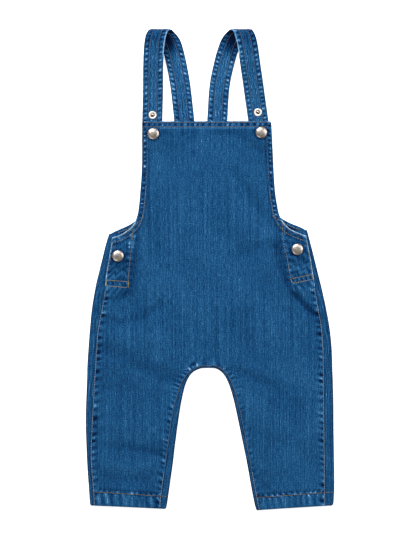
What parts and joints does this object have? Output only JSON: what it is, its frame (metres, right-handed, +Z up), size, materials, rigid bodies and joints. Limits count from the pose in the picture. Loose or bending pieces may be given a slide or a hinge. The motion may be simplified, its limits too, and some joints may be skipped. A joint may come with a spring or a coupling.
{
  "type": "baby denim dungarees",
  "caption": "Baby bib dungarees in mid blue denim with shoulder straps, press studs and side slits, laid flat on their back.",
  "frame": {"origin": "under the middle of the garment's outline, on the surface that it lies on", "axes": "+Y from the leg ends to the straps, +X to the right as seen from above, +Z up out of the front"},
  "size_m": [0.2806, 0.5432, 0.0183],
  "materials": {
    "denim": "washed mid blue denim twill, tan topstitching",
    "strap_denim": "doubled washed denim, tan topstitching",
    "snap_cap": "antique silver, satin",
    "snap_stud": "bright nickel"
  },
  "bodies": {
    "root": {"front_panel": "denim", "back_panel": "denim", "side_facing_left": "denim", "side_facing_right": "denim", "strap_left": "strap_denim", "strap_right": "strap_denim", "bib_cap_left": "snap_cap", "bib_cap_right": "snap_cap", "side_cap_left": "snap_cap", "side_cap_right": "snap_cap", "bib_stud_left": "snap_stud", "bib_stud_right": "snap_stud", "spare_stud_left": "snap_stud", "spare_stud_right": "snap_stud", "side_stud_left": "snap_stud", "side_stud_right": "snap_stud"}
  },
  "joints": []
}
